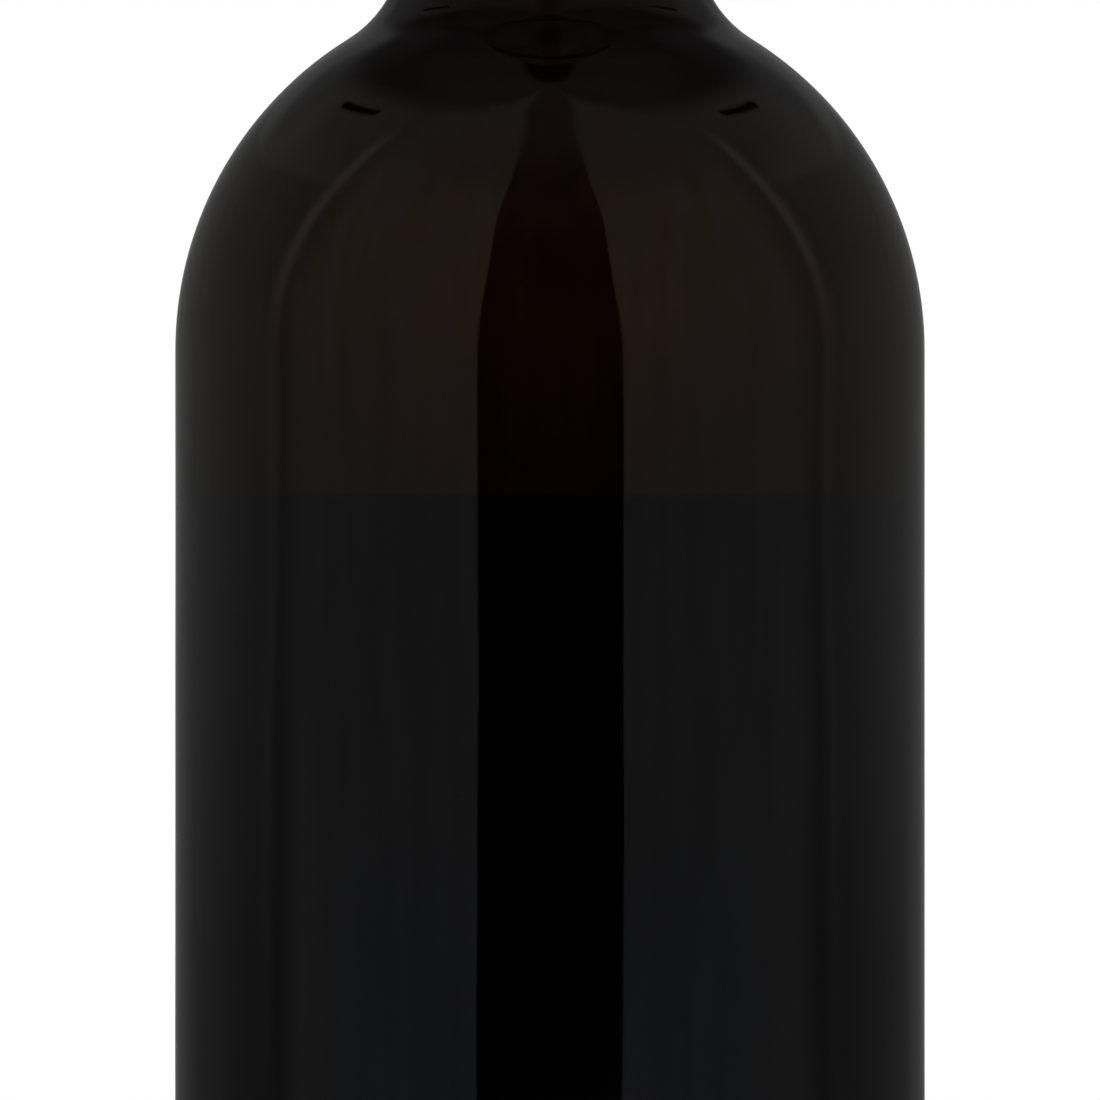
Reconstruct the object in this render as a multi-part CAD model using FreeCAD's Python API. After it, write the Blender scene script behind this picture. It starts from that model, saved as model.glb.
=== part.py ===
import FreeCAD, Part
import math
import os

# Round spirit bottle in dark glass: a straight body, a round shoulder that flows into the neck,
# a heavy base and a cork finish. It stands part full of whisky, closed by a cork with a turned top.
# Millimetres. The origin is the centre of the base on the surface it stands on, and +Z is up.

# Glass, outside
body_radius = 42.0
body_height = 132.0        # from the stand surface to where the shoulder starts
shoulder_radius = 41.1     # convex arc that leaves the body upright
neck_fillet = 12.9         # concave arc from the shoulder to the neck
neck_radius = 16.5         # where that arc would stand upright
neck_taper = 2.5           # degrees that the neck leans in
neck_length = 34.0         # from the fillet to the collar

# Glass, base
heel_radius = 6.0
bearing_width = 3.0        # flat ring that the bottle stands on
push_up = 3.5              # height of the hollow under the base
base_thickness = 7.0
inner_heel_radius = 8.0

# Glass, wall and cork finish
wall = 3.0
bore_radius = 9.5
bore_depth = 30.0          # straight bore that grips the cork
collar_proud = 1.0         # how far the collar stands out from the neck
collar_height = 11.0
collar_slope = 1.2         # height of the slanted underside
lip_round = 1.6            # outer edge of the mouth
mouth_round = 0.9          # inner edge of the mouth

# Whisky
fill_drop = 16.4           # how far its surface lies below the start of the shoulder

# Cork and its turned top
cork_fit = 0.05            # clearance round the cork, in the bore and in the top
cork_length = 22.0         # below the mouth
cork_bevel = 1.5
cork_seat = 6.0            # depth of the cork in the top
top_inset = 0.3            # how far its side lies inside the collar's
top_height = 13.0
top_round = 2.2            # upper edge
top_bevel = 0.6            # lower edge
top_crown = 0.7            # rise of the top's slightly domed face

# Places that follow
inner_radius = body_radius - wall
bearing_inner = body_radius - heel_radius - bearing_width
dome_radius = (bearing_inner ** 2 + push_up ** 2) / (2 * push_up)
shoulder_centre = FreeCAD.Vector(body_radius - shoulder_radius, 0, body_height)
centre_distance = shoulder_radius + neck_fillet
shoulder_angle = math.degrees(math.acos((neck_radius + neck_fillet - shoulder_centre.x) / centre_distance))
fillet_rise = centre_distance * math.sin(math.radians(shoulder_angle))
fillet_centre = FreeCAD.Vector(neck_radius + neck_fillet, 0, body_height + fillet_rise)
neck_lean = math.radians(neck_taper)
neck_bottom_radius = fillet_centre.x - neck_fillet * math.cos(neck_lean)
neck_top_radius = neck_bottom_radius - neck_length * math.tan(neck_lean)
collar_radius = neck_top_radius + collar_proud
collar_bottom = fillet_centre.z - neck_fillet * math.sin(neck_lean) + neck_length
mouth_height = collar_bottom + collar_height
cork_radius = bore_radius - cork_fit
top_radius = collar_radius - top_inset
touching = 1e-6            # ends closer than this are the same point


def at(r, z):
    return FreeCAD.Vector(r, 0, z)


def on_circle(centre, radius, degrees):
    angle = math.radians(degrees)
    return centre + at(radius * math.cos(angle), radius * math.sin(angle))


def arc(centre, radius, start, end):
    # Arc about a centre, from one angle to another in degrees.
    middle = (start + end) / 2
    ends = [on_circle(centre, radius, degrees) for degrees in (start, middle, end)]
    return Part.Arc(*ends).toShape()


def rounded(before, corner, after, radius):
    # Arc that rounds the corner between two straight runs.
    back = (before - corner).normalize()
    ahead = (after - corner).normalize()
    half = back.getAngle(ahead) / 2
    reach = radius / math.tan(half)
    middle = corner + (back + ahead).normalize() * (radius / math.sin(half) - radius)
    return Part.Arc(corner + back * reach, middle, corner + ahead * reach).toShape()


def start_of(piece):
    return piece if isinstance(piece, FreeCAD.Vector) else piece.firstVertex(True).Point


def end_of(piece):
    return piece if isinstance(piece, FreeCAD.Vector) else piece.lastVertex(True).Point


def turned(pieces):
    # Solid turned about the Z axis from arcs and points that go round its outline in the XZ plane.
    # A straight run joins two of them wherever one ends away from the next.
    edges = []
    for piece, following in zip(pieces, pieces[1:] + pieces[:1]):
        if isinstance(piece, Part.Edge):
            edges.append(piece)
        if end_of(piece).distanceToPoint(start_of(following)) > touching:
            edges.append(Part.makeLine(end_of(piece), start_of(following)))
    solid = Part.Face(Part.Wire(edges)).revolve(FreeCAD.Vector(), FreeCAD.Vector(0, 0, 1), 360)
    if solid.Volume < 0:
        solid.reverse()
    return solid


def base_outside():
    # Hollow of the push-up, the flat bearing ring and the heel, from the axis outwards.
    dome_centre = at(0, push_up - dome_radius)
    rim_angle = math.degrees(math.acos(bearing_inner / dome_radius))
    heel_centre = at(body_radius - heel_radius, heel_radius)
    return [arc(dome_centre, dome_radius, 90, rim_angle), arc(heel_centre, heel_radius, -90, 0)]


def base_inside():
    # The inner floor keeps the base's thickness over the push-up, then meets the wall in a round heel.
    floor_radius = dome_radius + base_thickness
    floor_centre = at(0, push_up + base_thickness - floor_radius)
    heel_x = inner_radius - inner_heel_radius
    heel_angle = math.degrees(math.acos(heel_x / (floor_radius + inner_heel_radius)))
    heel_centre = on_circle(floor_centre, floor_radius + inner_heel_radius, heel_angle)
    return [
        arc(floor_centre, floor_radius, 90, heel_angle),
        arc(heel_centre, inner_heel_radius, heel_angle - 180, 0),
    ]


def shoulder_outside():
    return [
        arc(shoulder_centre, shoulder_radius, 0, shoulder_angle),
        arc(fillet_centre, neck_fillet, 180 + shoulder_angle, 180 + neck_taper),
    ]


def shoulder_inside():
    # The wall is even over the shoulder, and one long arc then narrows the neck to the bore.
    fillet_radius = neck_fillet + wall
    step = fillet_centre.x - fillet_radius - bore_radius
    bore_bottom = mouth_height - bore_depth
    rise = bore_bottom - fillet_centre.z
    throat_radius = fillet_radius + (step ** 2 + rise ** 2) / (2 * step)
    throat_angle = math.degrees(math.asin(rise / (throat_radius - fillet_radius)))
    throat_centre = at(bore_radius + throat_radius, bore_bottom)
    return [
        arc(shoulder_centre, shoulder_radius - wall, 0, shoulder_angle),
        arc(fillet_centre, fillet_radius, 180 + shoulder_angle, 180 + throat_angle),
        arc(throat_centre, throat_radius, 180 + throat_angle, 180),
    ]


def cork_finish():
    # The collar round the mouth, from the neck below it, over the lip and into the bore.
    under = at(neck_top_radius, collar_bottom)
    edge = at(collar_radius, collar_bottom + collar_slope)
    lip = at(collar_radius, mouth_height)
    mouth = at(bore_radius, mouth_height)
    bore_end = at(bore_radius, mouth_height - bore_depth)
    return [
        under,
        edge,
        rounded(edge, lip, mouth, lip_round),
        rounded(lip, mouth, bore_end, mouth_round),
    ]


def inside():
    # The surface that holds the drink, from the axis on the floor up to the bore.
    return base_inside() + shoulder_inside()


def glass_bottle():
    down_the_inside = [piece.reversed() for piece in reversed(inside())]
    return turned(base_outside() + shoulder_outside() + cork_finish() + down_the_inside)


def cavity():
    # Everything inside the glass up to the plane of the mouth.
    return turned(inside() + [at(bore_radius, mouth_height), at(0, mouth_height)])


def whisky(hollow):
    level = body_height - fill_drop
    return hollow.common(Part.makeCylinder(body_radius, level))


def cork():
    bottom = at(0, mouth_height - cork_length)
    corner = at(cork_radius, bottom.z)
    head = at(cork_radius, mouth_height + cork_seat)
    bevel = [corner - at(cork_bevel, 0), corner + at(0, cork_bevel)]
    return turned([bottom] + bevel + [head, at(0, head.z)])


def turned_top():
    # Rests on the lip, with a recess that takes the head of the cork.
    recess_radius = cork_radius + cork_fit
    recess_floor = mouth_height + cork_seat
    crown_radius = (top_radius ** 2 + top_crown ** 2) / (2 * top_crown)
    crown_centre = at(0, mouth_height + top_height - crown_radius)
    face_angle = math.degrees(math.acos((top_radius - top_round) / (crown_radius - top_round)))
    round_centre = on_circle(crown_centre, crown_radius - top_round, face_angle)
    return turned([
        at(0, recess_floor),
        at(recess_radius, recess_floor),
        at(recess_radius, mouth_height),
        at(top_radius - top_bevel, mouth_height),
        at(top_radius, mouth_height + top_bevel),
        arc(round_centre, top_round, 0, face_angle),
        arc(crown_centre, crown_radius, face_angle, 90),
    ])


def main():
    os.makedirs("parts", exist_ok=True)
    hollow = cavity()
    solids = {
        "bottle": glass_bottle(),
        "whisky": whisky(hollow),
        "cork": cork(),
        "stopper_top": turned_top(),
    }
    for name, solid in solids.items():
        solid.exportStep("parts/" + name + ".step")
        print(name, round(solid.Volume / 1000, 1), "ml")
    print("brimful", round(hollow.Volume / 1000), "ml, height of the glass", round(mouth_height, 1), "mm")


main()
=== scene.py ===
import math

import bmesh
import bpy
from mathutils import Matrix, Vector


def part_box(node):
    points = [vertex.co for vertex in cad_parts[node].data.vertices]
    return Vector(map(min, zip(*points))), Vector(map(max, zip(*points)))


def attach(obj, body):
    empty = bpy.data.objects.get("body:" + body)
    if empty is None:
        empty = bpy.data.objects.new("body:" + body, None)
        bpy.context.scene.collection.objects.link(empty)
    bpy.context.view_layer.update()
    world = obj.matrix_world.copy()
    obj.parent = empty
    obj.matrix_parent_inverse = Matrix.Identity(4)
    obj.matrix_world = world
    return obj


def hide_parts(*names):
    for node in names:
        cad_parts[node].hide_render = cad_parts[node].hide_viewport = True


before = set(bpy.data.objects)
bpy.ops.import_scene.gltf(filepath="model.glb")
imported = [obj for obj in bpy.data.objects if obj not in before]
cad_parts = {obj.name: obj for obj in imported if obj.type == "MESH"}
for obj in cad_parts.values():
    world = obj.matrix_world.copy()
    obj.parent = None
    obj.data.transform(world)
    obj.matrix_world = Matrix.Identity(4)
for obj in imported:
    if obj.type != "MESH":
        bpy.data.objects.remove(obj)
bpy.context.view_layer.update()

# A dark amber spirit bottle, part full of whisky, closed by a cork in a turned wooden top.
# Metres. The bottle stands on the floor at the origin, and -Y is its front.

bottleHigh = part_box("bottle")[1]
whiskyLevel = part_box("whisky")[1].z
corkLow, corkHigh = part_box("cork")
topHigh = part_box("stopper_top")[1]
mouthHeight = bottleHigh.z
print("frame loaded, the glass is", round(mouthHeight * 1000, 1), "mm high")


def colour(hexText):
    # sRGB hex to the linear values that shaders take.
    parts = [int(hexText[i:i + 2], 16) / 255 for i in (1, 3, 5)]
    linear = [p / 12.92 if p <= 0.04045 else ((p + 0.055) / 1.055) ** 2.4 for p in parts]
    return (*linear, 1)


def addNode(tree, kind, inputs=None, stops=(), **settings):
    # A new node with its settings. An input is a value, or another node's output to link from.
    # Stops are the (position, hex colour) pairs of a colour ramp, lowest first.
    node = tree.nodes.new(kind)
    for name, value in settings.items():
        setattr(node, name, value)
    for socket, value in (inputs or {}).items():
        if isinstance(value, bpy.types.NodeSocket):
            tree.links.new(value, node.inputs[socket])
        else:
            node.inputs[socket].default_value = value
    for index, (position, hexText) in enumerate(stops):
        elements = node.color_ramp.elements
        element = elements[index] if index < len(elements) else elements.new(position)
        element.position = position
        element.color = colour(hexText)
    return node


def newObject(name, data):
    thing = bpy.data.objects.new(name, data)
    bpy.context.scene.collection.objects.link(thing)
    return thing


def hideFrom(thing, *rays):
    for ray in rays:
        setattr(thing, "visible_" + ray, False)


def newMaterial(name):
    material = bpy.data.materials.new(name)
    material.use_nodes = True
    material.node_tree.nodes.clear()
    return material, material.node_tree


def addPattern(tree, kind, size, inputs, offset=(0, 0, 0), **settings):
    # A texture on Object coordinates. One unit of it measures size metres along x, y and z, and
    # the offset is in those units.
    place = addNode(tree, "ShaderNodeTexCoord").outputs["Object"]
    scaled = addNode(tree, "ShaderNodeMapping",
                     {"Vector": place, "Scale": [1 / s for s in size], "Location": offset})
    inputs = {"Vector": scaled.outputs["Vector"], "Scale": 1.0, **inputs}
    return addNode(tree, kind, inputs, **settings).outputs["Fac"]


def blend(start, end, value):
    # Goes smoothly from 0 at start to 1 at end. The end may be the lower of the two.
    share = min(1.0, max(0.0, (value - start) / (end - start)))
    return share * share * (3 - 2 * share)


# Outlines are lists of points (r, z). They are worked out from each piece's own sizes.
outlines = {
    "arcStep": 0.0013,         # longest step along an arc
    "cornerStep": 0.0003,      # and round a small corner
    "fewestSteps": 4,
    "samePoint": 1e-6,         # points closer than this are one
}


def arcPoints(centre, radius, start, end, spacing=outlines["arcStep"]):
    # Points along an arc about a centre, from one angle to another in degrees.
    count = max(outlines["fewestSteps"], math.ceil(math.radians(abs(end - start)) * radius / spacing))
    angles = [math.radians(start + (end - start) * i / count) for i in range(count + 1)]
    return [(centre[0] + radius * math.cos(a), centre[1] + radius * math.sin(a)) for a in angles]


def roundedCorner(before, corner, after, radius, spacing=outlines["cornerStep"]):
    # The arc that rounds a corner between two straight runs.
    corner = Vector(corner)
    back = (Vector(before) - corner).normalized()
    ahead = (Vector(after) - corner).normalized()
    half = back.angle(ahead) / 2
    centre = corner + (back + ahead).normalized() * radius / math.sin(half)
    first = corner + back * radius / math.tan(half) - centre
    last = corner + ahead * radius / math.tan(half) - centre
    start = math.degrees(math.atan2(first.y, first.x))
    turn = (math.degrees(math.atan2(last.y, last.x)) - start + 180) % 360 - 180
    return arcPoints(centre, radius, start, start + turn, spacing)


def filledIn(points, spacing):
    # The same outline with no step longer than the spacing, and no point twice.
    result = [points[0]]
    for point in points[1:]:
        last = Vector(result[-1])
        length = (Vector(point) - last).length
        if length > outlines["samePoint"]:
            steps = max(1, math.ceil(length / spacing))
            result += [tuple(last.lerp(Vector(point), i / steps)) for i in range(1, steps + 1)]
    return result


def newTree(name, sockets):
    # A Geometry Nodes tree with named inputs, given as name and kind, and one shape going out.
    tree = bpy.data.node_groups.new(name, "GeometryNodeTree")
    for socket, kind in sockets.items():
        tree.interface.new_socket(name=socket, in_out="INPUT", socket_type="NodeSocket" + kind)
    tree.interface.new_socket(name="Shape", in_out="OUTPUT", socket_type="NodeSocketGeometry")
    return tree, addNode(tree, "NodeGroupInput").outputs


def closeTree(tree, geometry, material):
    # Shades the shape smooth, makes its instances real, and gives it its material.
    smooth = addNode(tree, "GeometryNodeSetShadeSmooth", {"Geometry": geometry})
    real = addNode(tree, "GeometryNodeRealizeInstances", {"Geometry": smooth.outputs["Geometry"]})
    dressed = addNode(tree, "GeometryNodeSetMaterial",
                      {"Geometry": real.outputs["Geometry"], "Material": material})
    addNode(tree, "NodeGroupOutput", {"Shape": dressed.outputs["Geometry"]})


def shapedBy(tree, name, mesh, values):
    # Runs a tree on a mesh, keeps the result as a plain closed mesh and drops the modifier.
    piece = newObject(name, mesh)
    modifier = piece.modifiers.new(tree.name, "NODES")
    modifier.node_group = tree
    for item in tree.interface.items_tree:
        if item.in_out == "INPUT" and item.name in values:
            modifier[item.identifier] = values[item.name]
    bpy.context.view_layer.update()
    shaped = piece.evaluated_get(bpy.context.evaluated_depsgraph_get())
    result = bpy.data.meshes.new_from_object(shaped)
    piece.modifiers.clear()
    piece.data = result
    work = bmesh.new()
    work.from_mesh(result)
    bmesh.ops.recalc_face_normals(work, faces=work.faces)
    work.to_mesh(result)
    work.free()
    return piece


# Turning an outline about Z with Geometry Nodes.
lathe = {
    "ringRadius": 0.02,        # the circle that the outline is carried along
    "weld": 1e-6,              # points closer than this are one, which closes the poles
    "rippleDetail": 1.0,
    "rippleRoughness": 0.4,
}


def buildTurningTree():
    # The surface wanders a little where the outline says so, and two mould seams run up it
    # at +X and -X.
    tree, given = newTree("turnOnAxis", {
        "Outline": "Geometry",
        "Segments": "Int",
        "Ripple Height": "Float",
        "Ripple Width": "Float",
        "Ripple Length": "Float",
        "Ripple Seed": "Float",
        "Seam Height": "Float",
        "Seam Width": "Float",
        "Material": "Material",
    })
    outline = addNode(tree, "GeometryNodeMeshToCurve", {"Mesh": given["Outline"]})
    ring = addNode(tree, "GeometryNodeCurvePrimitiveCircle",
                   {"Resolution": given["Segments"], "Radius": lathe["ringRadius"]})
    turned = addNode(tree, "GeometryNodeCurveToMesh",
                     {"Curve": ring.outputs["Curve"], "Profile Curve": outline.outputs["Curve"]})
    closed = addNode(tree, "GeometryNodeMergeByDistance",
                     {"Geometry": turned.outputs["Mesh"], "Distance": lathe["weld"]})

    # The ripple: noise about zero, as high as its input says, where the outline wanders.
    place = addNode(tree, "GeometryNodeInputPosition").outputs["Position"]
    sizes = addNode(tree, "ShaderNodeCombineXYZ",
                    {"X": given["Ripple Width"], "Y": given["Ripple Width"], "Z": given["Ripple Length"]})
    waves = addNode(tree, "ShaderNodeVectorMath", {0: place, 1: sizes.outputs["Vector"]},
                    operation="DIVIDE")
    noise = addNode(tree, "ShaderNodeTexNoise",
                    {"Vector": waves.outputs["Vector"], "W": given["Ripple Seed"], "Scale": 1.0,
                     "Detail": lathe["rippleDetail"], "Roughness": lathe["rippleRoughness"]},
                    noise_dimensions="4D")
    centred = addNode(tree, "ShaderNodeMath", {0: noise.outputs[0], 1: 0.5}, operation="SUBTRACT")
    high = addNode(tree, "ShaderNodeMath", {0: centred.outputs[0], 1: given["Ripple Height"]},
                   operation="MULTIPLY")
    wander = addNode(tree, "GeometryNodeInputNamedAttribute", {"Name": "wander"})
    ripple = addNode(tree, "ShaderNodeMath", {0: high.outputs[0], 1: wander.outputs["Attribute"]},
                     operation="MULTIPLY")

    # The seams: a bell curve across the plane Y = 0, where the outline is moulded.
    sideways = addNode(tree, "ShaderNodeSeparateXYZ", {"Vector": place}).outputs["Y"]
    ratio = addNode(tree, "ShaderNodeMath", {0: sideways, 1: given["Seam Width"]}, operation="DIVIDE")
    square = addNode(tree, "ShaderNodeMath", {0: ratio.outputs[0], 1: ratio.outputs[0]},
                     operation="MULTIPLY")
    negative = addNode(tree, "ShaderNodeMath", {0: square.outputs[0], 1: -1.0}, operation="MULTIPLY")
    bell = addNode(tree, "ShaderNodeMath", {0: negative.outputs[0]}, operation="EXPONENT")
    raised = addNode(tree, "ShaderNodeMath", {0: bell.outputs[0], 1: given["Seam Height"]},
                     operation="MULTIPLY")
    moulded = addNode(tree, "GeometryNodeInputNamedAttribute", {"Name": "moulded"})
    seam = addNode(tree, "ShaderNodeMath", {0: raised.outputs[0], 1: moulded.outputs["Attribute"]},
                   operation="MULTIPLY")

    relief = addNode(tree, "ShaderNodeMath", {0: ripple.outputs[0], 1: seam.outputs[0]}, operation="ADD")
    normal = addNode(tree, "GeometryNodeInputNormal").outputs["Normal"]
    offset = addNode(tree, "ShaderNodeVectorMath", {0: normal, "Scale": relief.outputs[0]},
                     operation="SCALE")
    moved = addNode(tree, "GeometryNodeSetPosition",
                    {"Geometry": closed.outputs["Geometry"], "Offset": offset.outputs["Vector"]})
    closeTree(tree, moved.outputs["Geometry"], given["Material"])
    return tree


def turnedPiece(name, outline, material, segments, relief=None, moulded=None, wander=None):
    # A closed piece from its outline. Moulded and wander give each point's share of the
    # relief's seam and ripple. Without relief its heights are zero, and the surface is even.
    mesh = bpy.data.meshes.new(name)
    points = [(r - lathe["ringRadius"], -z, 0) for r, z in outline]
    mesh.from_pydata(points, [(i, i + 1) for i in range(len(points) - 1)], [])
    for attribute, shares in (("moulded", moulded), ("wander", wander)):
        data = mesh.attributes.new(attribute, "FLOAT", "POINT").data
        data.foreach_set("value", shares or [0.0] * len(points))
    values = {"Segments": segments, "Material": material, **(relief or {})}
    return shapedBy(turningTree, name, mesh, values)


turningTree = buildTurningTree()
print("turning tree built")

# The bottle. Its sizes are the frame's own.
bottle = {
    "inset": 0.00003,          # keeps the rippled glass inside the frame
    "bodyHeight": 0.132,       # where the shoulder starts
    "shoulderRadius": 0.0411,
    "neckFillet": 0.0129,
    "neckRadius": 0.0165,
    "neckTaper": 2.5,          # degrees
    "neckLength": 0.034,
    "heelRadius": 0.006,
    "bearingWidth": 0.003,
    "bearingRound": 0.0008,
    "standOff": 0.00025,       # the knurls hold the glass this far off the floor
    "pushUp": 0.0035,
    "baseThickness": 0.007,
    "innerHeelRadius": 0.008,
    "wall": 0.003,
    "wallSettle": 0.0004,      # the hot glass sank, so the wall is this much thicker low down
    "settleHeights": (0.119, 0.137),
    "settleFrom": 0.6,         # it fades in over the floor, from this share of the inner radius
    "boreRadius": 0.0095,
    "boreDepth": 0.030,
    "collarProud": 0.001,
    "collarSlope": 0.0012,
    "collarHeight": 0.011,
    "collarRound": 0.0004,
    "lipRound": 0.0016,
    "mouthRound": 0.0009,
    "segments": 300,
    "straightStep": 0.003,     # longest step on the straight runs
    "baseStep": 0.002,         # on the wide arcs of the base
    "collarStep": 0.0002,      # and round the collar's corners
    "relief": {"Ripple Height": 0.00007, "Ripple Width": 0.012, "Ripple Length": 0.030,
               "Ripple Seed": 4.0, "Seam Height": 0.00004, "Seam Width": 0.0005},
    "insideWander": 3.0,       # the blown inside wanders more than the moulded outside
    "wanderGap": 0.004,        # it stops this far below the collar and the bore
    "wanderFade": 0.01,        # and reaches its full height this much lower
}
bodyRadius = bottleHigh.y - bottle["inset"]
shoulderCentre = (bodyRadius - bottle["shoulderRadius"], bottle["bodyHeight"])
centreDistance = bottle["shoulderRadius"] + bottle["neckFillet"]
filletX = bottle["neckRadius"] + bottle["neckFillet"]
shoulderAngle = math.degrees(math.acos((filletX - shoulderCentre[0]) / centreDistance))
filletCentre = (filletX, bottle["bodyHeight"] + centreDistance * math.sin(math.radians(shoulderAngle)))
taper = math.radians(bottle["neckTaper"])
neckTopRadius = bottle["neckRadius"] + bottle["neckFillet"] * (1 - math.cos(taper))
neckTopRadius -= bottle["neckLength"] * math.tan(taper)
collarRadius = neckTopRadius + bottle["collarProud"]
collarBottom = mouthHeight - bottle["collarHeight"]
boreBottom = mouthHeight - bottle["boreDepth"]
ringOuter = bodyRadius - bottle["heelRadius"]          # the flat ring that bears on the knurls
ringInner = ringOuter - bottle["bearingWidth"]
domeRadius = (ringInner ** 2 + bottle["pushUp"] ** 2) / (2 * bottle["pushUp"])


def outsideOutline():
    # From the axis under the base, over the outside, to the mouth's inner edge.
    b = bottle
    foot = b["standOff"]
    rimAngle = math.degrees(math.acos(ringInner / domeRadius))
    dome = arcPoints((0, foot + b["pushUp"] - domeRadius), domeRadius, 90, rimAngle, b["baseStep"])
    rim = roundedCorner(dome[-2], (ringInner, foot), (ringOuter, foot), b["bearingRound"])
    heel = arcPoints((ringOuter, foot + b["heelRadius"]), b["heelRadius"], -90, 0)
    shoulder = arcPoints(shoulderCentre, b["shoulderRadius"], 0, shoulderAngle)
    fillet = arcPoints(filletCentre, b["neckFillet"], 180 + shoulderAngle, 180 + b["neckTaper"])
    neckTop = (neckTopRadius, collarBottom)
    edge = (collarRadius, collarBottom + b["collarSlope"])
    lip = (collarRadius, mouthHeight)
    mouth = (b["boreRadius"], mouthHeight)
    boreEnd = (b["boreRadius"], boreBottom)
    points = dome[:-1] + rim + heel + shoulder + fillet
    points += roundedCorner(fillet[-1], neckTop, edge, b["collarRound"], b["collarStep"])
    points += roundedCorner(neckTop, edge, lip, b["collarRound"], b["collarStep"])
    points += roundedCorner(edge, lip, mouth, b["lipRound"])
    points += roundedCorner(lip, mouth, boreEnd, b["mouthRound"])
    return points


def insideOutline(bite=0.0):
    # From the axis on the inner floor up to the bore. Bite moves it into the glass.
    b = bottle
    innerRadius = bodyRadius - b["wall"] + bite
    floorRadius = domeRadius + b["baseThickness"] - bite
    floorCentre = (0, b["pushUp"] - domeRadius)
    heelRadius = b["innerHeelRadius"] + bite
    heelX = innerRadius - heelRadius
    heelAngle = math.acos(heelX / (floorRadius + heelRadius))
    heelCentre = (heelX, floorCentre[1] + (floorRadius + heelRadius) * math.sin(heelAngle))
    heelDegrees = math.degrees(heelAngle)
    filletRadius = b["neckFillet"] + b["wall"] - bite
    step = filletCentre[0] - filletRadius - b["boreRadius"]
    rise = boreBottom - filletCentre[1]
    throatRadius = filletRadius + (step ** 2 + rise ** 2) / (2 * step)
    throatAngle = math.degrees(math.asin(rise / (throatRadius - filletRadius)))
    throatCentre = (b["boreRadius"] + throatRadius, boreBottom)
    points = (
        arcPoints(floorCentre, floorRadius, 90, heelDegrees, b["baseStep"])
        + arcPoints(heelCentre, heelRadius, heelDegrees - 180, 0)
        + arcPoints(shoulderCentre, b["shoulderRadius"] - b["wall"] + bite, 0, shoulderAngle)
        + arcPoints(filletCentre, filletRadius, 180 + shoulderAngle, 180 + throatAngle)
        + arcPoints(throatCentre, throatRadius, 180 + throatAngle, 180)
    )
    settleLow, settleHigh = b["settleHeights"]
    settled = []
    for r, z in filledIn(points, b["straightStep"]):
        share = blend(settleHigh, settleLow, z) * blend(b["settleFrom"], 1, r / innerRadius)
        settled.append((r - b["wallSettle"] * share, z))
    return settled


amberGlass = {
    "streakSize": (0.0022, 0.0022, 0.028),     # their width both ways, and their length
    "streakTones": [(0.32, "#C8B08C"), (0.62, "#FFFFFF")],
    "smearSize": (0.018, 0.018, 0.03),
    "roughness": (0.015, 0.05),        # wiped clean, and under a smear
    "skinSize": (0.0012, 0.0012, 0.004),
    "skinHeight": 0.000004,
    "depthColour": "#A68642",
    "density": 1400.0,
    "paintedWetSheenTones": [(0.30, "#CFCFD3"), (0.66, "#DBDCE0")],        # painted reflection tint beside the whisky, with painted streaks
    "paintedWarmSheenTones": [(0.30, "#FFDDB8"), (0.66, "#FFF0E4")],       # and a painted warmer, brighter reflection where air lies behind the wall
    "paintedLevelSheenTone": "#EDE0D6",    # painted reflection tint just above the whisky
    "levelBlur": 0.0003,       # half the width of the edge at the whisky's level
    "warmRise": 0.022,         # how far above the whisky it is warmest
    "shoulderFade": (0.148, 0.166),    # heights between which the warmth fades out
    "paintedNeckShadeTone": "#949496",     # painted shade: the reflection is painted dimmer round the neck
    # heights between which the painted shade on the neck's reflection fades in
    "paintedNeckShadeHeights": (0.1665, 0.1680),
}


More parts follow.
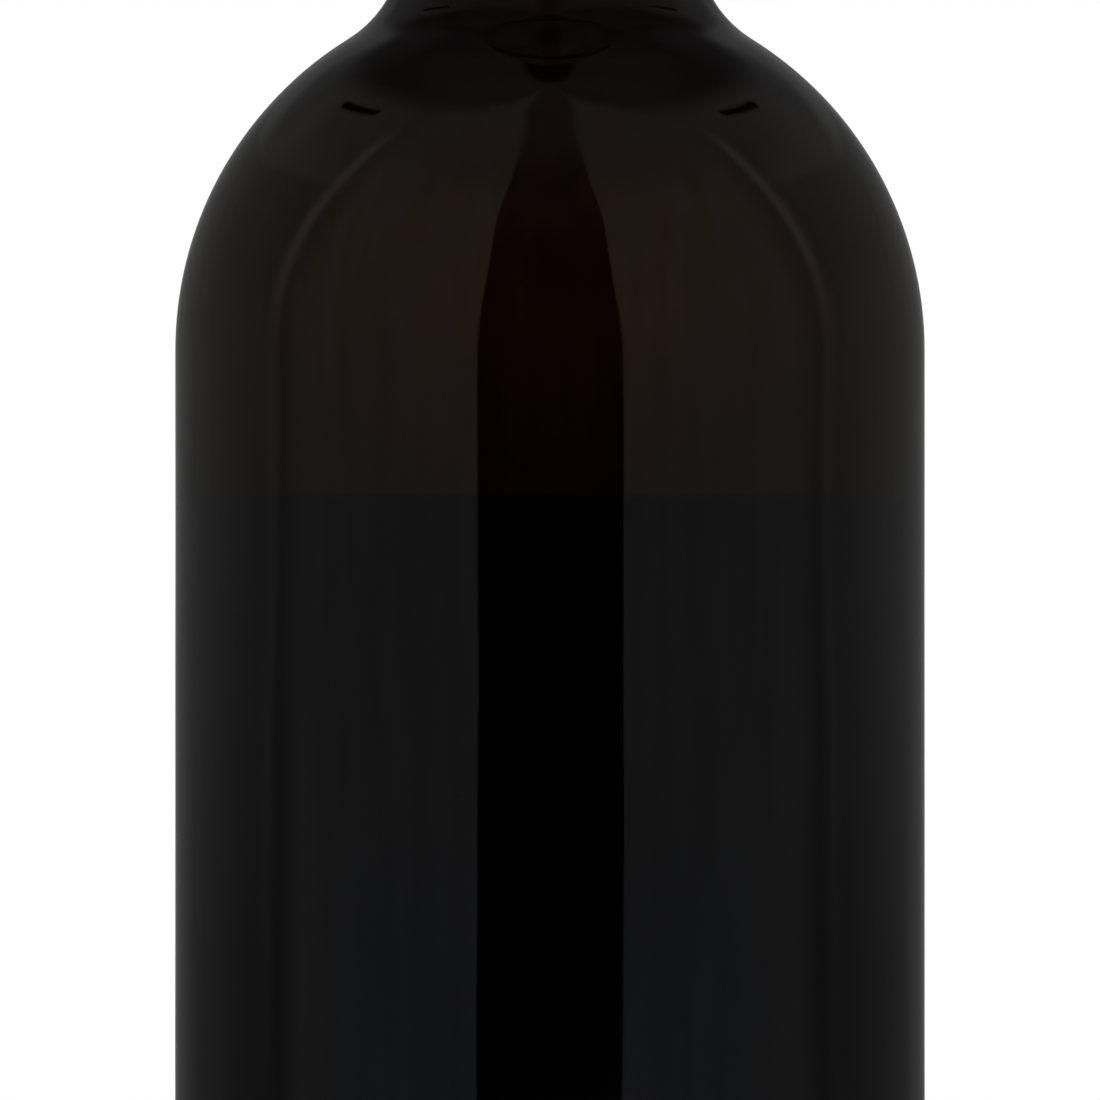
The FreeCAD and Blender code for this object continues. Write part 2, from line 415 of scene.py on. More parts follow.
def mouldedAmberGlass():
    # Soda-lime glass, deep amber, blown in a mould: a hard clear reflection with hardly any
    # light through two walls, faint upright streaks where the wall is thicker, and a thin
    # film of handling that dulls it in patches.
    material, tree = newMaterial("mouldedAmberGlass")
    g = amberGlass
    streaks = addPattern(tree, "ShaderNodeTexNoise", g["streakSize"], {"Detail": 3.0, "Roughness": 0.6})
    tone = addNode(tree, "ShaderNodeValToRGB", {"Fac": streaks}, g["streakTones"])
    smears = addPattern(tree, "ShaderNodeTexNoise", g["smearSize"],
                        {"Detail": 5.0, "Roughness": 0.65, "Distortion": 0.6})
    roughness = addNode(tree, "ShaderNodeMapRange",
                        {"Value": smears, "From Min": 0.35, "From Max": 0.75,
                         "To Min": g["roughness"][0], "To Max": g["roughness"][1]})
    fine = addPattern(tree, "ShaderNodeTexNoise", g["skinSize"], {"Detail": 2.0})
    skin = addNode(tree, "ShaderNodeBump",
                   {"Height": fine, "Strength": 0.15, "Distance": g["skinHeight"]})
    # The inner face reflects too where air lies behind it, and that light has crossed the brown wall. That
    # reflection is painted in: the specular tint is a painted reflection, warmer and brighter above the
    # whisky with painted streaks, and painted darker round the neck as painted shade. Going up, each tint
    # takes over from the one before between two heights.
    place = addNode(tree, "ShaderNodeTexCoord").outputs["Object"]
    height = addNode(tree, "ShaderNodeSeparateXYZ", {"Vector": place}).outputs["Z"]
    paintedWetSheen = addNode(tree, "ShaderNodeValToRGB", {"Fac": streaks}, g["paintedWetSheenTones"]).outputs["Color"]
    paintedWarmSheen = addNode(tree, "ShaderNodeValToRGB", {"Fac": streaks}, g["paintedWarmSheenTones"]).outputs["Color"]
    paintedSheen = paintedWetSheen
    for low, high, tint in (
        (whiskyLevel - g["levelBlur"], whiskyLevel + g["levelBlur"], colour(g["paintedLevelSheenTone"])),
        (whiskyLevel, whiskyLevel + g["warmRise"], paintedWarmSheen),
        (*g["shoulderFade"], paintedWetSheen),
        (*g["paintedNeckShadeHeights"], colour(g["paintedNeckShadeTone"])),
    ):
        share = addNode(tree, "ShaderNodeMapRange", {"Value": height, "From Min": low, "From Max": high})
        paintedSheen = addNode(tree, "ShaderNodeMix", {0: share.outputs["Result"], 6: paintedSheen, 7: tint},
                        data_type="RGBA").outputs[2]
    # Its specular tint is the painted reflection tint, set by height.
    surface = addNode(tree, "ShaderNodeBsdfPrincipled",
                      {"Base Color": tone.outputs["Color"], "Roughness": roughness.outputs["Result"],
                       "IOR": 1.52, "Transmission Weight": 1.0, "Normal": skin.outputs["Normal"],
                       "Specular Tint": paintedSheen})
    depth = addNode(tree, "ShaderNodeVolumeAbsorption",
                    {"Color": colour(g["depthColour"]), "Density": g["density"]})
    addNode(tree, "ShaderNodeOutputMaterial",
            {"Surface": surface.outputs["BSDF"], "Volume": depth.outputs["Volume"]})
    return material


def wanderBelow(top, z):
    # The share of the ripple at a height: none at the top of its stretch, all a little lower.
    return min(1.0, max(0.0, (top - z) / bottle["wanderFade"]))


glassMaterial = mouldedAmberGlass()
outside = filledIn(outsideOutline(), bottle["straightStep"])
inside = filledIn([outside[-1]] + list(reversed(insideOutline())), bottle["straightStep"])[1:]
finishStart = collarBottom - bottle["wanderGap"]
boreStart = boreBottom - bottle["wanderGap"]
mouldedShare = [float(bottle["heelRadius"] < z < finishStart) for r, z in outside]
outsideShare = [wanderBelow(finishStart, z) for r, z in outside]
insideShare = [bottle["insideWander"] * wanderBelow(boreStart, z) for r, z in inside]
glassShell = turnedPiece(
    "glassShell", outside + inside, glassMaterial, bottle["segments"], bottle["relief"],
    mouldedShare + [0.0] * len(inside), outsideShare + insideShare,
)
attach(glassShell, "root")
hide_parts("bottle")
print("glass turned,", len(glassShell.data.polygons), "faces")

# The knurled ring that the bottle stands on.
knurls = {
    "count": 84,
    "ringRadius": ringOuter - bottle["bearingWidth"] / 2,
    "padSize": (0.0026, 0.0010, 0.0006),      # along the spoke, across it, and high
    "padSegments": 10,
    "padRings": 6,
}


def buildKnurlTree():
    # A ring of small pads, set like spokes, with their lowest points on the floor.
    tree, given = newTree("baseKnurls", {
        "Mesh": "Geometry",
        "Count": "Int",
        "Ring Radius": "Float",
        "Pad Size": "Vector",
        "Material": "Material",
    })
    ring = addNode(tree, "GeometryNodeMeshCircle",
                   {"Vertices": given["Count"], "Radius": given["Ring Radius"]})
    ball = addNode(tree, "GeometryNodeMeshUVSphere",       # one unit across, scaled to the pad's size
                   {"Segments": knurls["padSegments"], "Rings": knurls["padRings"], "Radius": 0.5})
    place = addNode(tree, "GeometryNodeInputPosition").outputs["Position"]
    spoke = addNode(tree, "FunctionNodeAlignRotationToVector", {"Vector": place}, axis="X")
    pads = addNode(tree, "GeometryNodeInstanceOnPoints",
                   {"Points": ring.outputs["Mesh"], "Instance": ball.outputs["Mesh"],
                    "Rotation": spoke.outputs["Rotation"], "Scale": given["Pad Size"]})
    lift = addNode(tree, "ShaderNodeVectorMath", {0: given["Pad Size"], 1: (0, 0, 0.5)},
                   operation="MULTIPLY")
    raised = addNode(tree, "GeometryNodeTranslateInstances",
                     {"Instances": pads.outputs["Instances"], "Translation": lift.outputs["Vector"],
                      "Local Space": False})
    closeTree(tree, raised.outputs["Instances"], given["Material"])
    return tree


knurlRing = shapedBy(buildKnurlTree(), "baseKnurls", bpy.data.meshes.new("baseKnurls"), {
    "Count": knurls["count"], "Ring Radius": knurls["ringRadius"], "Pad Size": knurls["padSize"],
    "Material": glassMaterial,
})
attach(knurlRing, "root")
print("base knurls made,", len(knurlRing.data.polygons), "faces")

# The whisky fills the glass up to its level and climbs the wall a little, as drink does.
whisky = {
    "bite": 0.00025,           # how far it reaches into the glass
    "wallEnd": 0.002,          # its side follows the glass up to this far below the level
    "climb": 0.0014,           # from the flat surface up to where it meets the wall
    "climbWidth": 0.0017,
    "curveWidth": 0.009,       # how much of the surface is curved, from the wall inwards
    "curveSteps": 24,
    "curveCrowding": 1.5,      # over 1, the steps are finer near the wall
    "segments": 200,
    "straightStep": 0.006,
    "swirlSize": (0.02, 0.02, 0.05),
    "swirlTones": [(0.35, "#F6EAD6"), (0.65, "#FFFFFF")],
    "depthColour": "#DDBB24",
    "density": 120.0,
}


def surfaceHeight(away):
    # The height of the whisky's surface at a distance from the wall.
    return whiskyLevel - whisky["climb"] + whisky["climb"] * math.exp(-away / whisky["climbWidth"])


def whiskyOutline():
    w = whisky
    wall = bodyRadius - bottle["wall"]
    points = [(r, z) for r, z in insideOutline(w["bite"]) if z < whiskyLevel - w["wallEnd"]]
    points.append((wall + w["bite"], whiskyLevel))
    for i in range(w["curveSteps"] + 1):
        away = w["curveWidth"] * (i / w["curveSteps"]) ** w["curveCrowding"]
        points.append((wall - away, surfaceHeight(away)))
    points.append((0, surfaceHeight(w["curveWidth"])))
    return filledIn(points, w["straightStep"])


def caskAgedWhisky():
    # Clear amber spirit: it bends light less than glass and turns deep orange with depth.
    # Faint slow swirls keep it from looking like a solid block.
    material, tree = newMaterial("caskAgedWhisky")
    w = whisky
    swirls = addPattern(tree, "ShaderNodeTexNoise", w["swirlSize"], {"Detail": 3.0, "Distortion": 1.2})
    tone = addNode(tree, "ShaderNodeValToRGB", {"Fac": swirls}, w["swirlTones"])
    surface = addNode(tree, "ShaderNodeBsdfPrincipled",
                      {"Base Color": tone.outputs["Color"], "Roughness": 0.0, "IOR": 1.36,
                       "Transmission Weight": 1.0})
    depth = addNode(tree, "ShaderNodeVolumeAbsorption",
                    {"Color": colour(w["depthColour"]), "Density": w["density"]})
    addNode(tree, "ShaderNodeOutputMaterial",
            {"Surface": surface.outputs["BSDF"], "Volume": depth.outputs["Volume"]})
    return material


whiskyFill = turnedPiece("whiskyFill", whiskyOutline(), caskAgedWhisky(), whisky["segments"])
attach(whiskyFill, "root")
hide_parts("whisky")
print("whisky poured,", len(whiskyFill.data.polygons), "faces")

# The cork, pressed into the bore and glued into the top.
cork = {
    "squeeze": 0.00005,        # how far it reaches into the glass, so that no gap shows
    "bevel": 0.0015,
    "bevelRound": 0.0004,
    "segments": 160,
    "straightStep": 0.0006,
    "relief": {"Ripple Height": 0.00012, "Ripple Width": 0.0012, "Ripple Length": 0.0016,
               "Ripple Seed": 9.0},
    "roughDepth": 0.0002,      # only its end is rough, this deep
    "roughMargin": 0.002,      # and this far in from the bore
    "crumbSize": (0.0009, 0.0009, 0.0009),
    "crumbTones": [(0.25, "#9C6B3F"), (0.5, "#C4955F"), (0.75, "#DDB98A")],
    "crumbHeight": 0.00015,
    "poreSize": (0.0008, 0.006, 0.0011),
    "poreOffset": (3, 1, 7),
    "poreEdge": [(0.60, "#000000"), (0.68, "#FFFFFF")],        # from shut to fully open
    "poreTone": "#5A3A20",
}


def corkOutline():
    radius = bottle["boreRadius"] + cork["squeeze"]
    low, high, bevel = corkLow.z, corkHigh.z, cork["bevel"]
    under = (radius - bevel, low)
    side = (radius, low + bevel)
    points = [(0, low)]
    points += roundedCorner((0, low), under, side, cork["bevelRound"])
    points += roundedCorner(under, side, (radius, high), cork["bevelRound"])
    return filledIn(points + [(radius, high), (0, high)], cork["straightStep"])


def punchedCork():
    # Natural cork, punched from the bark and sanded: a warm matt tan with darker pores that
    # run across it, a fine crumb, and brown spots where a pore opens.
    material, tree = newMaterial("punchedCork")
    c = cork
    crumb = addPattern(tree, "ShaderNodeTexNoise", c["crumbSize"], {"Detail": 6.0, "Roughness": 0.7})
    base = addNode(tree, "ShaderNodeValToRGB", {"Fac": crumb}, c["crumbTones"]).outputs["Color"]
    pores = addPattern(tree, "ShaderNodeTexNoise", c["poreSize"],
                       {"Detail": 3.0, "Roughness": 0.6, "Distortion": 0.4}, c["poreOffset"])
    openPores = addNode(tree, "ShaderNodeValToRGB", {"Fac": pores}, c["poreEdge"]).outputs["Color"]
    tone = addNode(tree, "ShaderNodeMix", {0: openPores, 6: base, 7: colour(c["poreTone"])},
                   data_type="RGBA")
    depth = addNode(tree, "ShaderNodeMath", {0: crumb, 1: openPores}, operation="SUBTRACT")
    bump = addNode(tree, "ShaderNodeBump",
                   {"Height": depth.outputs[0], "Strength": 0.6, "Distance": c["crumbHeight"]})
    surface = addNode(tree, "ShaderNodeBsdfPrincipled",
                      {"Base Color": tone.outputs[2], "Roughness": 0.82, "IOR": 1.45,
                       "Normal": bump.outputs["Normal"]})
    addNode(tree, "ShaderNodeOutputMaterial", {"Surface": surface.outputs["BSDF"]})
    return material


corkPoints = corkOutline()
roughRadius = bottle["boreRadius"] - cork["roughMargin"]
corkShare = [float(z < corkLow.z + cork["roughDepth"] and r < roughRadius) for r, z in corkPoints]
pressedCork = turnedPiece("pressedCork", corkPoints, punchedCork(), cork["segments"], cork["relief"],
                          wander=corkShare)
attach(pressedCork, "root")
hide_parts("cork")
print("cork pressed in,", len(pressedCork.data.polygons), "faces")

# The turned wooden top that rests on the lip.
woodTop = {
    "inset": 0.0003,           # how far its side lies inside the collar's
    "edgeRound": 0.0022,
    "bevel": 0.0006,
    "bevelRound": 0.00025,
    "crown": 0.0007,
    "grooveHeight": 0.0036,    # a fine turned line above the lip
    "grooveDepth": 0.00025,
    "grooveWidth": 0.0007,
    "grooveSteps": 8,
    "segments": 220,
    "straightStep": 0.0007,
    "edgeStep": 0.0004,
    "bevelStep": 0.0001,
    "relief": {"Ripple Height": 0.000012, "Ripple Width": 0.0014, "Ripple Length": 0.008,
               "Ripple Seed": 2.0},
    "smoothDepth": 0.0002,     # its seat is smooth up to this height
    "smoothMargin": 0.001,     # and this far out from the cork
    "ringSize": (0.0066, 0.0066, 0.12),
    "ringOffset": (4.9, 3.1, 0),
    "ringTones": [(0.1, "#1B120D"), (0.6, "#2A1C14"), (0.95, "#3A281C")],
    "grainSize": (0.00035, 0.00035, 0.007),
    "grainHeight": 0.00006,
    "fleckTones": [(0.36, "#0C0806"), (0.52, "#FFFFFF")],
    "fleckStrength": 0.75,
    "roughness": (0.55, 0.38), # of the flecks and of the wood between them
}


def topOutline():
    w = woodTop
    low = mouthHeight
    radius = collarRadius - w["inset"]
    recess = bottle["boreRadius"]
    crownRadius = (radius ** 2 + w["crown"] ** 2) / (2 * w["crown"])
    crownCentre = (0, topHigh.z - crownRadius)
    edgeX = radius - w["edgeRound"]
    faceAngle = math.acos(edgeX / (crownRadius - w["edgeRound"]))
    edgeCentre = (edgeX, crownCentre[1] + (crownRadius - w["edgeRound"]) * math.sin(faceAngle))
    faceDegrees = math.degrees(faceAngle)
    under = (radius - w["bevel"], low)
    side = (radius, low + w["bevel"])
    groove = []
    steps = w["grooveSteps"]
    for t in range(-steps // 2, steps // 2 + 1):
        depth = w["grooveDepth"] * math.cos(math.pi * t / steps) ** 2
        groove.append((radius - depth, low + w["grooveHeight"] + w["grooveWidth"] * t / steps))
    points = [(0, corkHigh.z), (recess, corkHigh.z), (recess, low)]
    points += roundedCorner((recess, low), under, side, w["bevelRound"], w["bevelStep"])
    points += roundedCorner(under, side, groove[0], w["bevelRound"], w["bevelStep"])
    points += groove
    points += arcPoints(edgeCentre, w["edgeRound"], 0, faceDegrees, w["edgeStep"])
    points += arcPoints(crownCentre, crownRadius, faceDegrees, 90, w["straightStep"])
    return filledIn(points, w["straightStep"])


def stainedTurnedBeech():
    # Beech turned with its grain upright, stained nearly black and lacquered: year rings that
    # cross the face in wide uneven arcs, fine upright grain with short flecks on the side, and
    # a soft satin coat.
    material, tree = newMaterial("stainedTurnedBeech")
    w = woodTop
    rings = addPattern(tree, "ShaderNodeTexWave", w["ringSize"],
                       {"Distortion": 4.2, "Detail": 3.0, "Detail Scale": 1.1, "Detail Roughness": 0.6},
                       w["ringOffset"], wave_type="RINGS", rings_direction="Z")
    grain = addPattern(tree, "ShaderNodeTexNoise", w["grainSize"], {"Detail": 5.0, "Roughness": 0.6})
    base = addNode(tree, "ShaderNodeValToRGB", {"Fac": rings}, w["ringTones"])
    fleck = addNode(tree, "ShaderNodeValToRGB", {"Fac": grain}, w["fleckTones"])
    tone = addNode(tree, "ShaderNodeMix",
                   {0: w["fleckStrength"], 6: base.outputs["Color"], 7: fleck.outputs["Color"]},
                   data_type="RGBA", blend_type="MULTIPLY")
    roughness = addNode(tree, "ShaderNodeMapRange",
                        {"Value": grain, "From Min": 0.3, "From Max": 0.7,
                         "To Min": w["roughness"][0], "To Max": w["roughness"][1]})
    bump = addNode(tree, "ShaderNodeBump", {"Height": grain, "Strength": 0.35, "Distance": w["grainHeight"]})
    surface = addNode(tree, "ShaderNodeBsdfPrincipled",
                      {"Base Color": tone.outputs[2], "Roughness": roughness.outputs["Result"],
                       "IOR": 1.5, "Coat Weight": 0.35, "Coat Roughness": 0.22,
                       "Normal": bump.outputs["Normal"]})
    addNode(tree, "ShaderNodeOutputMaterial", {"Surface": surface.outputs["BSDF"]})
    return material


topPoints = topOutline()
seatTop = mouthHeight + woodTop["smoothDepth"]
seatEdge = bottle["boreRadius"] + woodTop["smoothMargin"]
topShare = [float(z > seatTop and r > seatEdge) for r, z in topPoints]
turnedTop = turnedPiece("turnedTop", topPoints, stainedTurnedBeech(), woodTop["segments"],
                        woodTop["relief"], wander=topShare)
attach(turnedTop, "root")
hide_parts("stopper_top")
print("wooden top turned,", len(turnedTop.data.polygons), "faces")

# The studio: a pale floor that turns white further out, a white surround, soft lamps, and a dim
# tent that only reflections see.
studio = {
    "floorRadius": 6.0,
    "floorSegments": 96,
    "fadeStart": 0.35,         # where the floor starts to turn white
    "fadeEnd": 0.85,
    "boardGrain": (0.004, 0.004, 0.004),
    "boardTones": [(0.3, "#EFEEEB"), (0.7, "#F3F2EF")],
    "surroundLight": 0.55,     # what the surround adds to matt surfaces
    "lampPower": 5.5,
    "lamps": {                 # place, size, and share of the lamp power
        "lampLeft": ((-1.0, -1.1, 0.9), 0.9, 1.0),
        "lampRight": ((1.1, -0.8, 0.8), 0.9, 0.6),
        "lampTop": ((0.0, 0.5, 1.5), 1.0, 0.6),
    },
}


def seenRays(tree):
    # One where the ray comes from the camera, a reflection or through glass.
    rays = addNode(tree, "ShaderNodeLightPath").outputs
    direct = addNode(tree, "ShaderNodeMath", {0: rays["Is Camera Ray"], 1: rays["Is Glossy Ray"]},
                     operation="MAXIMUM")
    return addNode(tree, "ShaderNodeMath", {0: direct.outputs[0], 1: rays["Is Transmission Ray"]},
                   operation="MAXIMUM").outputs[0]


def paintedBoard():
    # Matt white-painted board that keeps the shadow near the bottle and is plain white further out.
    material, tree = newMaterial("paintedBoard")
    brushed = addPattern(tree, "ShaderNodeTexNoise", studio["boardGrain"], {"Detail": 3.0})
    tone = addNode(tree, "ShaderNodeValToRGB", {"Fac": brushed}, studio["boardTones"])
    matt = addNode(tree, "ShaderNodeBsdfPrincipled",
                   {"Base Color": tone.outputs["Color"], "Roughness": 0.7, "Specular IOR Level": 0.2})
    place = addNode(tree, "ShaderNodeTexCoord").outputs["Object"]
    away = addNode(tree, "ShaderNodeVectorMath", {0: place}, operation="LENGTH").outputs["Value"]
    fade = addNode(tree, "ShaderNodeMapRange",
                   {"Value": away, "From Min": studio["fadeStart"], "From Max": studio["fadeEnd"]},
                   interpolation_type="SMOOTHSTEP")
    share = addNode(tree, "ShaderNodeMath", {0: fade.outputs["Result"], 1: seenRays(tree)},
                    operation="MULTIPLY")
    white = addNode(tree, "ShaderNodeEmission", {"Color": colour("#FFFFFF"), "Strength": 1.0})
    mixed = addNode(tree, "ShaderNodeMixShader",
                    {0: share.outputs[0], 1: matt.outputs["BSDF"], 2: white.outputs["Emission"]})
    addNode(tree, "ShaderNodeOutputMaterial", {"Surface": mixed.outputs["Shader"]})
    material.cycles.emission_sampling = "NONE"         # the white is only seen, and is no lamp
    return material


def makeFloor():
    mesh = bpy.data.meshes.new("floor")
    work = bmesh.new()
    bmesh.ops.create_circle(work, cap_ends=True, segments=studio["floorSegments"],
                            radius=studio["floorRadius"])
    work.to_mesh(mesh)
    work.free()
    mesh.materials.append(paintedBoard())
    floor = newObject("floor", mesh)


def makeSurround():
    world = bpy.data.worlds.new("surround")
    bpy.context.scene.world = world
    world.use_nodes = True
    tree = world.node_tree
    tree.nodes.clear()
    strength = addNode(tree, "ShaderNodeMapRange",
                       {"Value": seenRays(tree), "To Min": studio["surroundLight"], "To Max": 1.0})
    light = addNode(tree, "ShaderNodeBackground",
                    {"Color": colour("#FFFFFF"), "Strength": strength.outputs["Result"]})
    addNode(tree, "ShaderNodeOutputWorld", {"Surface": light.outputs["Background"]})


def makeLamp(name, place, size, power):
    # A soft square lamp that faces the bottle and isn't seen in the glass itself.
    data = bpy.data.lights.new(name, "AREA")
    data.size = size
    data.energy = power
    lamp = newObject(name, data)
    lamp.location = place
    aim = Vector((0, 0, mouthHeight / 2)) - Vector(place)
    lamp.rotation_euler = aim.to_track_quat("-Z", "Y").to_euler()
    hideFrom(lamp, "camera", "glossy", "transmission")


# The tent is a dome of hanging cloths, the same on the left and the right. Angles are degrees:
# azimuth is 0 in front of the bottle and 180 behind, and elevation is 90 straight up. Three
# numbers are a change: its amount, and the angles where it starts and ends.
tent = {
    "radius": 1.1,
    "centreHeight": 0.12,
    "lowest": -9,              # degrees under the centre, below the floor
    "azimuthStep": 0.5,
    "elevationStep": 0.5,
    "poleShare": 0.0005,       # the top row is a ring of this share of the radius, not a point
    "opening": 176,            # azimuth of the open back, below the cloth's back edge
    "openingTop": 10,
    "sideFade": (17, 2),       # the side cloth fades in between these angles before the seam
    "lowTint": (0.94, 1.0, 1.06),      # cool light from low down in front
    "lowTintHeights": (-1, -5),
    "lowTintAzimuths": (76, 60),
}
frontCloth = {
    "light": 0.230,
    "topLoss": (0.21, 38, 60),         # the share of its light that it loses higher up
}
sideCloth = {
    "light": 0.125,
    "frontShare": 1.16,        # of that light, near the seam
    "backLoss": (0.32, 96, 150),
    "lowGain": (0.13, 20, 6),          # brighter over the floor
    "hemLoss": (0.28, 0, -6),          # dim at the hem, and less so at the back
    "hemBackLoss": (0.6, 135, 150),
    "valanceBend": (115.0, 33.5),      # azimuth and elevation of the bend in the valance's edge
    "valanceSlopes": (0.21, 0.345),    # of that edge, in front of the bend and behind it
    "valanceGain": 0.29,       # the valance doubles the cloth, and is brighter
    "valanceBlur": 0.6,
    "valanceTopLoss": (0.6, 36, 45),
    "foldLoss": (0.28, 23.5, 28.5),    # a dimmer fold further back, from this height up
    "foldSpan": (130, 148, 154, 160),
    "backGlow": (0.05, 158, 172),      # light low down beside the open back
    "backGlowHeights": (28, 8),
}
overlap = {
    "seam": 92.0,              # azimuth where the front cloth ends over the side cloth
    "lean": (-3.6, 14, 46),    # it hangs askew: higher up it is further forward
    "kick": (3.2, 0, -3),      # and at the hem further back
    "light": 0.17,
    "widths": (1.9, 3.0),      # of the bright fold, in front of the seam and behind it
    "lowShare": 0.27,          # the fold is dimmer low down
    "rise": (0.73, 2, 28),
    "span": (-7, -2, 48, 58),
    "shadow": 0.018,           # a faint shadow in front of the fold, low down
    "shadowPlace": 4,
    "shadowWidth": 2.2,
    "shadowSpan": (-3, -1, 8, 16),
    "hemShadow": (0.02, -1, -2.5),     # and a wider one at the hem
    "hemShadowPlace": 7,
    "hemShadowWidth": 4,
}
topCloth = {
    "light": 0.038,
    "frontGain": (0.021, 130, 90),
    "highGain": (0.026, 54, 72),
    "sagLoss": (0.33, 136, 150),       # a dim sag at the back
    "sagSpan": (50, 58, 68, 76),
    "edgeBend": (118, 55.8),           # azimuth and elevation of the bend in its lower edge
    "edgeSlopes": (0.34, 0.53),        # of that edge, in front of the bend and behind it
    "edgeLowest": 38.7,
    "edgeFade": (5, 4),        # degrees below and above the edge
}
frontGap = {                   # the dark gap between the front cloths
    "edge": 21.7,              # azimuth of its edge at the bottom
    "edgeChanges": [(-2.3, 0, 30), (-2.3, 38, 56), (12, 70, 82)],
    "light": 0.006,
    "lightChanges": [(0.033, 28, 44), (0.055, 50, 74)],
    "blur": 0.3,
    "blurChange": (5, 52, 72),
}
darkMarks = {                  # a short bar on each side, and one hole near the top
    "barEnds": ((109.0, 53.6), (127.3, 45.2)),         # azimuth and elevation
    "barEdge": (0.54, 1.26),   # degrees from its middle line where its edge starts and ends
    "hole": 8.0,               # its middle lies this far behind straight up
    "holeEdge": (5.8, 3.8),    # degrees from its middle
    "holeStretch": 1.6,        # how much longer it is from front to back
    "holeDepth": 0.95,
}


def change(given, angle):
    amount, start, end = given
    return amount * blend(start, end, angle)


def within(span, angle):
    # One between the middle two of the span's four angles, fading to zero at the outer two.
    return blend(span[0], span[1], angle) * blend(span[3], span[2], angle)


def hump(off, width):
    # One at zero, and falling away on both sides.
    return math.exp(-(off / width) ** 2)


def frontLight(elevation):
    return frontCloth["light"] * (1 - change(frontCloth["topLoss"], elevation))


def sideLight(azimuth, elevation):
    # Dimmer towards the back and at the hem, and brighter above the valance's sloping edge.
    c = sideCloth
    light = c["light"] * (c["frontShare"] - change(c["backLoss"], azimuth))
    light *= 1 + change(c["lowGain"], elevation)
    light *= 1 - change(c["hemLoss"], elevation) * (1 - change(c["hemBackLoss"], azimuth))
    bendAzimuth, bendHeight = c["valanceBend"]
    above = elevation - bendHeight - c["valanceSlopes"][azimuth > bendAzimuth] * (bendAzimuth - azimuth)
    doubled = blend(-c["valanceBlur"], c["valanceBlur"], above)
    light *= 1 + c["valanceGain"] * doubled * (1 - change(c["valanceTopLoss"], elevation))
    light *= 1 - change(c["foldLoss"], elevation) * within(c["foldSpan"], azimuth)
    return light + change(c["backGlow"], azimuth) * blend(*c["backGlowHeights"], elevation)


def seamAzimuth(elevation):
    return overlap["seam"] + change(overlap["lean"], elevation) + change(overlap["kick"], elevation)


def overlapLight(azimuth, elevation):
    # The bright fold along the seam, sharper in front, with faint shadows before it low down.
    c = overlap
    off = azimuth - seamAzimuth(elevation)
    light = c["light"] * hump(off, c["widths"][off >= 0])
    light *= (c["lowShare"] + change(c["rise"], elevation)) * within(c["span"], elevation)
    shadow = c["shadow"] * hump(off + c["shadowPlace"], c["shadowWidth"])
    hemShadow = change(c["hemShadow"], elevation) * hump(off + c["hemShadowPlace"], c["hemShadowWidth"])
    return light - shadow * within(c["shadowSpan"], elevation) - hemShadow


def topLight(azimuth, elevation):
    c = topCloth
    light = c["light"] + change(c["frontGain"], azimuth) + change(c["highGain"], elevation)
    return light * (1 - change(c["sagLoss"], azimuth) * within(c["sagSpan"], elevation))


def topShareAt(azimuth, elevation):
    # None below the top cloth's lower edge, which slopes down to the back, and one above it.
    c = topCloth
    bendAzimuth, bendHeight = c["edgeBend"]
    slope = c["edgeSlopes"][azimuth > bendAzimuth]
    edge = max(c["edgeLowest"], bendHeight - slope * (azimuth - bendAzimuth))
    below, above = c["edgeFade"]
    return blend(edge - below, edge + above, elevation)


def gapShareAt(azimuth, elevation):
    # One in the gap, and none on the cloth beside it.
    edge = frontGap["edge"] + sum(change(given, elevation) for given in frontGap["edgeChanges"])
    blur = frontGap["blur"] + change(frontGap["blurChange"], elevation)
    return blend(edge + blur, edge - blur, azimuth)


def barShade(azimuth, elevation):
    # One away from the dark bar, and zero on it.
    (startAzimuth, startHeight), (endAzimuth, endHeight) = darkMarks["barEnds"]
    wide, high = endAzimuth - startAzimuth, endHeight - startHeight
    across, up = azimuth - startAzimuth, elevation - startHeight
    along = min(1.0, max(0.0, (across * wide + up * high) / (wide ** 2 + high ** 2)))
    off = math.hypot(across - along * wide, up - along * high)
    return blend(*darkMarks["barEdge"], off)


def holeShade(azimuth, elevation):
    # One away from the dark hole, and nearly zero in it.
    turn = math.radians(azimuth)
    away = 90 - elevation
    lengthways = (away * math.cos(turn) + darkMarks["hole"]) / darkMarks["holeStretch"]
    off = math.hypot(away * math.sin(turn), lengthways)
    return 1 - darkMarks["holeDepth"] * blend(*darkMarks["holeEdge"], off)


def clothLight(azimuth, elevation):
    # The red, green and blue light that comes from a direction of the tent.
    light = frontLight(elevation)
    seam = seamAzimuth(elevation)
    start, end = tent["sideFade"]
    light += (sideLight(azimuth, elevation) - light) * blend(seam - start, seam - end, azimuth)
    light += overlapLight(azimuth, elevation)
    light += (topLight(azimuth, elevation) - light) * topShareAt(azimuth, elevation)
    gapLight = frontGap["light"] + sum(change(given, elevation) for given in frontGap["lightChanges"])
    light += (gapLight - light) * gapShareAt(azimuth, elevation)
    light *= barShade(azimuth, elevation) * holeShade(azimuth, elevation)
    low = blend(*tent["lowTintHeights"], elevation) * blend(*tent["lowTintAzimuths"], azimuth)
    return [light * (1 + (tint - 1) * low) for tint in tent["lowTint"]]


def backlitCloth():
    # White cloth lit from behind, seen only in reflections.
    material, tree = newMaterial("backlitCloth")
    glow = addNode(tree, "ShaderNodeAttribute", attribute_name="glow")
    light = addNode(tree, "ShaderNodeEmission", {"Color": glow.outputs["Color"], "Strength": 1.0})
    addNode(tree, "ShaderNodeOutputMaterial", {"Surface": light.outputs["Emission"]})
    material.cycles.emission_sampling = "NONE"         # reflections find it, and it is no lamp
    return material


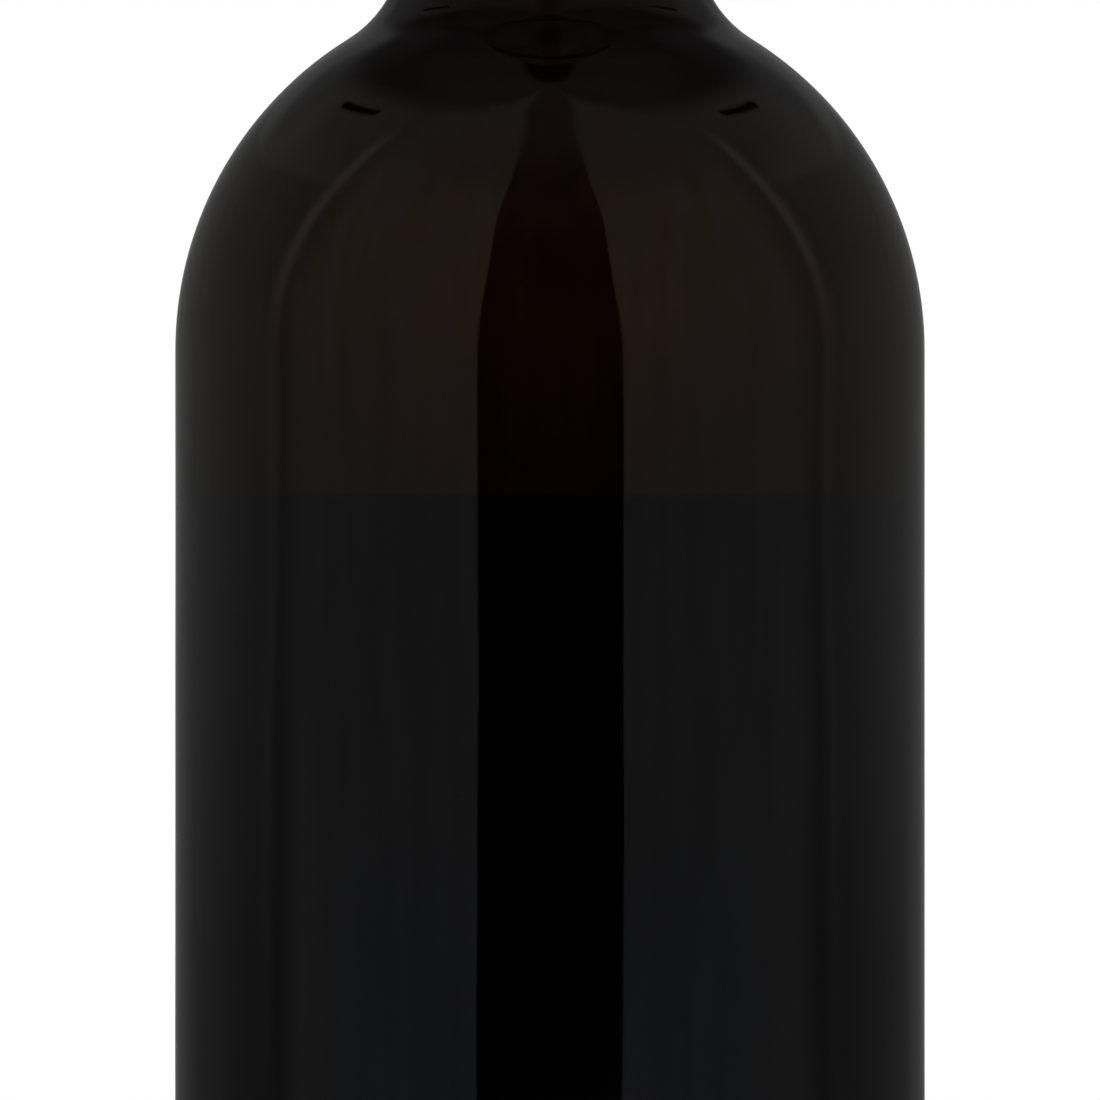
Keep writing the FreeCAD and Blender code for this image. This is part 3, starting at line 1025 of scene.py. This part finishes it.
def makeTent(name, side, material):
    # One half of the dome round the bottle, left or right.
    t = tent
    columns = round(180 / t["azimuthStep"])
    rows = round((90 - t["lowest"]) / t["elevationStep"])
    points, glows, faces = [], [], []
    for row in range(rows + 1):
        elevation = t["lowest"] + row * t["elevationStep"]
        up = math.radians(elevation)
        flat = t["radius"] * max(math.cos(up), t["poleShare"])
        for column in range(columns + 1):
            azimuth = column * t["azimuthStep"]
            turn = math.radians(azimuth)
            points.append((side * flat * math.sin(turn), -flat * math.cos(turn),
                           t["centreHeight"] + t["radius"] * math.sin(up)))
            glows += [*clothLight(azimuth, elevation), 1.0]
            isOpen = azimuth >= t["opening"] and elevation < t["openingTop"]
            if row < rows and column < columns and not isOpen:
                corner = row * (columns + 1) + column
                faces.append((corner, corner + 1, corner + columns + 2, corner + columns + 1))
    mesh = bpy.data.meshes.new(name)
    mesh.from_pydata(points, [], faces)
    mesh.color_attributes.new("glow", "FLOAT_COLOR", "POINT").data.foreach_set("color", glows)
    mesh.materials.append(material)
    half = newObject(name, mesh)
    hideFrom(half, "camera", "diffuse", "transmission", "shadow")


makeFloor()
clothMaterial = backlitCloth()
makeTent("tentLeft", -1, clothMaterial)
makeTent("tentRight", 1, clothMaterial)
makeSurround()
for lampName, (lampPlace, lampSize, powerShare) in studio["lamps"].items():
    makeLamp(lampName, lampPlace, lampSize, studio["lampPower"] * powerShare)
print("studio set up")

# The camera looks level at the body, the shoulder and the start of the neck.
view = {
    "distance": 1.6,
    "width": 0.1232,           # what the view takes in across the axis
    "belowLevel": 0.00595,     # its centre lies this far under the whisky's level
    "sensor": 36.0,            # millimetres
    "farthest": 30,
}
cameraData = bpy.data.cameras.new("camera")
cameraData.sensor_width = view["sensor"]
cameraData.lens = view["sensor"] * view["distance"] / view["width"]
cameraData.clip_end = view["farthest"]
camera = newObject("camera", cameraData)
camera.location = (0, -view["distance"], whiskyLevel - view["belowLevel"])
camera.rotation_euler = (math.pi / 2, 0, 0)
bpy.context.scene.camera = camera
bpy.context.scene.view_settings.view_transform = "Standard"
print("camera placed")

bpy.context.view_layer.update()
